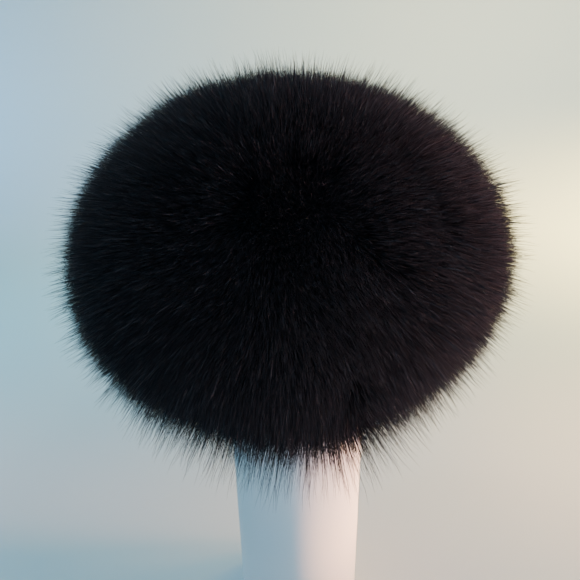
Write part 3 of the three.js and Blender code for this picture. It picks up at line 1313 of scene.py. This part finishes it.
@dataclass(frozen=True)
class Lamp:
    """A soft lamp, square or flat and wide."""

    name: str
    place: Triple  # x, y, z in metres
    aim: Triple  # point that it faces
    size: float  # width in metres
    watts: float  # power
    colour: Triple  # colour of the light
    spread: float  # angle that it shines through, in degrees
    flatness: float = 1.0  # height as a share of the width

    def build(self) -> None:
        """Makes the lamp, turned to its aim."""
        data = bpy.data.lights.new(self.name, "AREA")
        data.shape, data.size, data.size_y = "RECTANGLE", self.size, self.size * self.flatness
        data.energy, data.color = self.watts, self.colour
        data.spread = math.radians(self.spread)
        obj = bpy.data.objects.new(self.name, data)
        obj.visible_camera = False
        obj.location = self.place
        way = Vector(self.aim) - Vector(self.place)
        obj.rotation_euler = way.to_track_quat("-Z", "Y").to_euler()
        bpy.context.scene.collection.objects.link(obj)


@dataclass(frozen=True)
class FrontCamera:
    """Camera at the photograph's place: just over the hat, looking down at its front."""

    aside: float = -0.0033  # metres to the right of the hat's middle
    before: float = 0.367  # metres in front of it
    above: float = 0.149  # metres above the fur's widest level
    tilt: float = 26.0  # degrees that it looks down
    roll: float = -1.1  # degrees that it is turned about its own line of sight
    lens: float = 36.0  # focal length in millimetres
    sensor: float = 36.0  # width of the picture behind the lens, in millimetres
    reach: Span = (0.02, 30.0)  # nearest and furthest thing that it sees, in metres

    def build(self, form: FurForm) -> None:
        """Makes the camera and looks through it.

        Args:
            form: form of the fur, for its widest level.
        """
        data = bpy.data.cameras.new("front_camera")
        data.sensor_width, data.lens = self.sensor, self.lens
        data.clip_start, data.clip_end = self.reach
        camera = bpy.data.objects.new("front_camera", data)
        camera.location = (self.aside, -self.before, form.widest_level + self.above)
        turn = Euler((math.radians(90.0 - self.tilt), 0.0, 0.0)).to_matrix()
        roll = Euler((0.0, 0.0, math.radians(self.roll))).to_matrix()
        camera.rotation_euler = (turn @ roll).to_euler()
        bpy.context.scene.collection.objects.link(camera)
        bpy.context.scene.camera = camera


@dataclass
class Studio:
    """A pale floor that rises into a round wall, soft lamps and faint light from all round."""

    floor_radius: float = 1.1  # flat part of the floor, in metres
    cove: float = 0.9  # radius of the turn from floor to wall
    wall: float = 0.35  # height of the wall
    sides: int = 96  # points in a ring of the sweep
    grey: float = 0.60  # shade of the sweep
    roughness: float = 0.9  # roughness of the sweep
    sky: Triple = (0.175, 0.64, 1.0)  # colour of the light from all round
    sky_strength: float = 1.265  # its strength
    lamps: tuple[Lamp, ...] = (
        Lamp("warm_key", (1.15, -0.15, 0.46), (0.0, 0.0, 0.35), 0.45, 1.85, (1.0, 0.48, 0.44), 34.0),
        Lamp("front_fill", (0.50, -1.10, 0.12), (0.0, 0.0, 0.36), 0.30, 0.30, (1.0, 0.90, 0.94), 26.0),
        Lamp("top_fill", (0.55, -0.50, 1.50), (0.0, 0.0, 0.42), 0.30, 0.14, (1.0, 0.80, 0.82), 26.0),
        Lamp("left_edge", (-1.20, -0.15, 0.52), (-0.12, 0.0, 0.36), 0.10, 0.022, (1.0, 0.92, 0.90), 14.0),
        Lamp("left_top", (-0.60, 0.05, 1.45), (-0.05, 0.0, 0.38), 0.30, 0.11, (1.0, 0.90, 0.86), 22.0),
        Lamp("post_key", (0.85, -0.03, 0.19), (0.03, 0.0, 0.12), 0.40, 0.90, (1.0, 0.48, 0.20), 18.0, 0.15),
        Lamp("floor_glow", (0.95, 0.25, 0.75), (0.36, 0.12, 0.0), 0.20, 1.25, (1.0, 0.56, 0.21), 40.0),
        Lamp("cool_floor", (-1.10, 0.35, 0.90), (-0.50, 0.55, 0.0), 0.30, 0.80, (0.06, 0.75, 1.0), 60.0),
        Lamp("cool_wash", (-1.20, 0.70, 0.80), (-0.95, 1.60, 0.10), 0.5, 3.8, (0.12, 0.47, 1.0), 90.0),
        Lamp("warm_wash", (1.20, 0.85, 0.65), (0.80, 0.80, 0.0), 0.5, 18.0, (1.0, 0.74, 0.19), 90.0),
        Lamp("back_glow", (0.75, 0.55, 1.90), (0.55, 1.80, 0.25), 0.6, 20.8, (1.0, 0.88, 0.44), 90.0),
    )

    def floor(self) -> None:
        """Floor and wall in one sweep."""
        rows = [(self.floor_radius * share, 0.0) for share in (0.02, 0.35, 0.7, 1.0)]
        for turn in (math.radians(angle) for angle in range(10, 91, 10)):
            out, up = self.cove * math.sin(turn), self.cove * (1.0 - math.cos(turn))
            rows.append((self.floor_radius + out, up))
        rows.append((self.floor_radius + self.cove, self.cove + self.wall))
        table = np.array([(radius, radius, level) for radius, level in rows])
        points = ring_points(table, self.sides, False)[:-1]
        faces = [face for face in ring_faces(len(rows), self.sides, False) if max(face) < len(points)]
        material = bpy.data.materials.new("pale_sweep")
        material.use_nodes = True
        shader = material.node_tree.nodes["Principled BSDF"]
        shader.inputs["Base Color"].default_value = (self.grey, self.grey, self.grey, 1.0)
        shader.inputs["Roughness"].default_value = self.roughness
        sweep = mesh_object("studio_sweep", points, [face[::-1] for face in faces], material)
        LOG.info("studio_sweep: %d faces", len(faces))

    def air(self) -> None:
        """Even, faint light from all round."""
        world = bpy.data.worlds.new("studio_air")
        world.use_nodes = True
        background = world.node_tree.nodes["Background"]
        background.inputs["Color"].default_value = (*self.sky, 1.0)
        background.inputs["Strength"].default_value = self.sky_strength
        bpy.context.scene.world = world

    def build(self) -> None:
        """Makes the whole studio."""
        self.floor()
        self.air()
        for lamp in self.lamps:
            lamp.build()


def main() -> None:
    """Builds the post, the hat's skin, its fur and the studio."""
    logging.basicConfig(level=logging.INFO, format="%(name)s %(message)s")
    finishes = Finishes()
    form = FurForm()
    post = Post.from_frame()
    post.build(finishes.post)
    skin = HatSkin.from_frame()
    skin.band(finishes.pelt)
    skin.crown(finishes.pelt)
    under = UnderFur(form, skin)
    under.band(finishes.under_fur)
    under.crown(finishes.under_fur)
    HatHair(form, finishes).build()
    Studio().build()
    FrontCamera().build(form)


if __name__ == "__main__":
    main()
